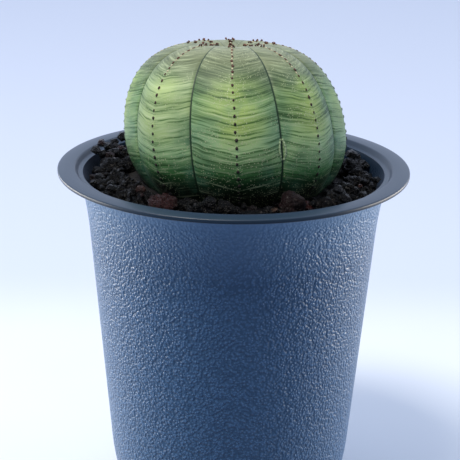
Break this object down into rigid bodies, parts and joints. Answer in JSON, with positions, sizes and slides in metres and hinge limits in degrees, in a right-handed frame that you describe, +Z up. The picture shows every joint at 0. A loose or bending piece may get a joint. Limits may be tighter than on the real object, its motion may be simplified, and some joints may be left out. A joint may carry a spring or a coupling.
{
  "type": "potted euphorbia",
  "caption": "Ball-shaped ribbed euphorbia in a tall round plastic nursery pot with a rolled-out lip, the potting mix topped with loose dark crushed lava grit.",
  "frame": {"origin": "middle of the pot's foot, on the surface it stands on", "axes": "+Z up along the pot's axis; -Y is the front, towards which one rib of the plant faces; +X is to the right seen from the front"},
  "size_m": [0.09, 0.09, 0.1267],
  "materials": {
    "pot_plastic": "matte",
    "plant_skin": "satin",
    "potting_mix": "matte",
    "lava_grit": "matte"
  },
  "bodies": {
    "root": {"pot": "pot_plastic", "potting_mix": "potting_mix", "plant": "plant_skin", "grit_01": "lava_grit", "grit_02": "lava_grit", "grit_03": "lava_grit", "grit_04": "lava_grit", "grit_05": "lava_grit", "grit_06": "lava_grit", "grit_07": "lava_grit", "grit_08": "lava_grit", "grit_09": "lava_grit", "grit_10": "lava_grit", "grit_11": "lava_grit", "grit_12": "lava_grit", "grit_13": "lava_grit", "grit_14": "lava_grit", "grit_15": "lava_grit", "grit_16": "lava_grit", "grit_17": "lava_grit", "grit_18": "lava_grit", "grit_19": "lava_grit", "grit_20": "lava_grit", "grit_21": "lava_grit", "grit_22": "lava_grit", "grit_23": "lava_grit", "grit_24": "lava_grit", "grit_25": "lava_grit", "grit_26": "lava_grit", "grit_27": "lava_grit", "grit_28": "lava_grit", "grit_29": "lava_grit", "grit_30": "lava_grit", "grit_31": "lava_grit", "grit_32": "lava_grit", "grit_33": "lava_grit", "grit_34": "lava_grit", "grit_35": "lava_grit", "grit_36": "lava_grit", "grit_37": "lava_grit", "grit_38": "lava_grit", "grit_39": "lava_grit", "grit_40": "lava_grit", "grit_41": "lava_grit", "grit_42": "lava_grit", "grit_43": "lava_grit", "grit_44": "lava_grit", "grit_45": "lava_grit", "grit_46": "lava_grit", "grit_47": "lava_grit", "grit_48": "lava_grit", "grit_49": "lava_grit", "grit_50": "lava_grit", "grit_51": "lava_grit", "grit_52": "lava_grit", "grit_53": "lava_grit", "grit_54": "lava_grit", "grit_55": "lava_grit", "grit_56": "lava_grit"}
  },
  "joints": []
}
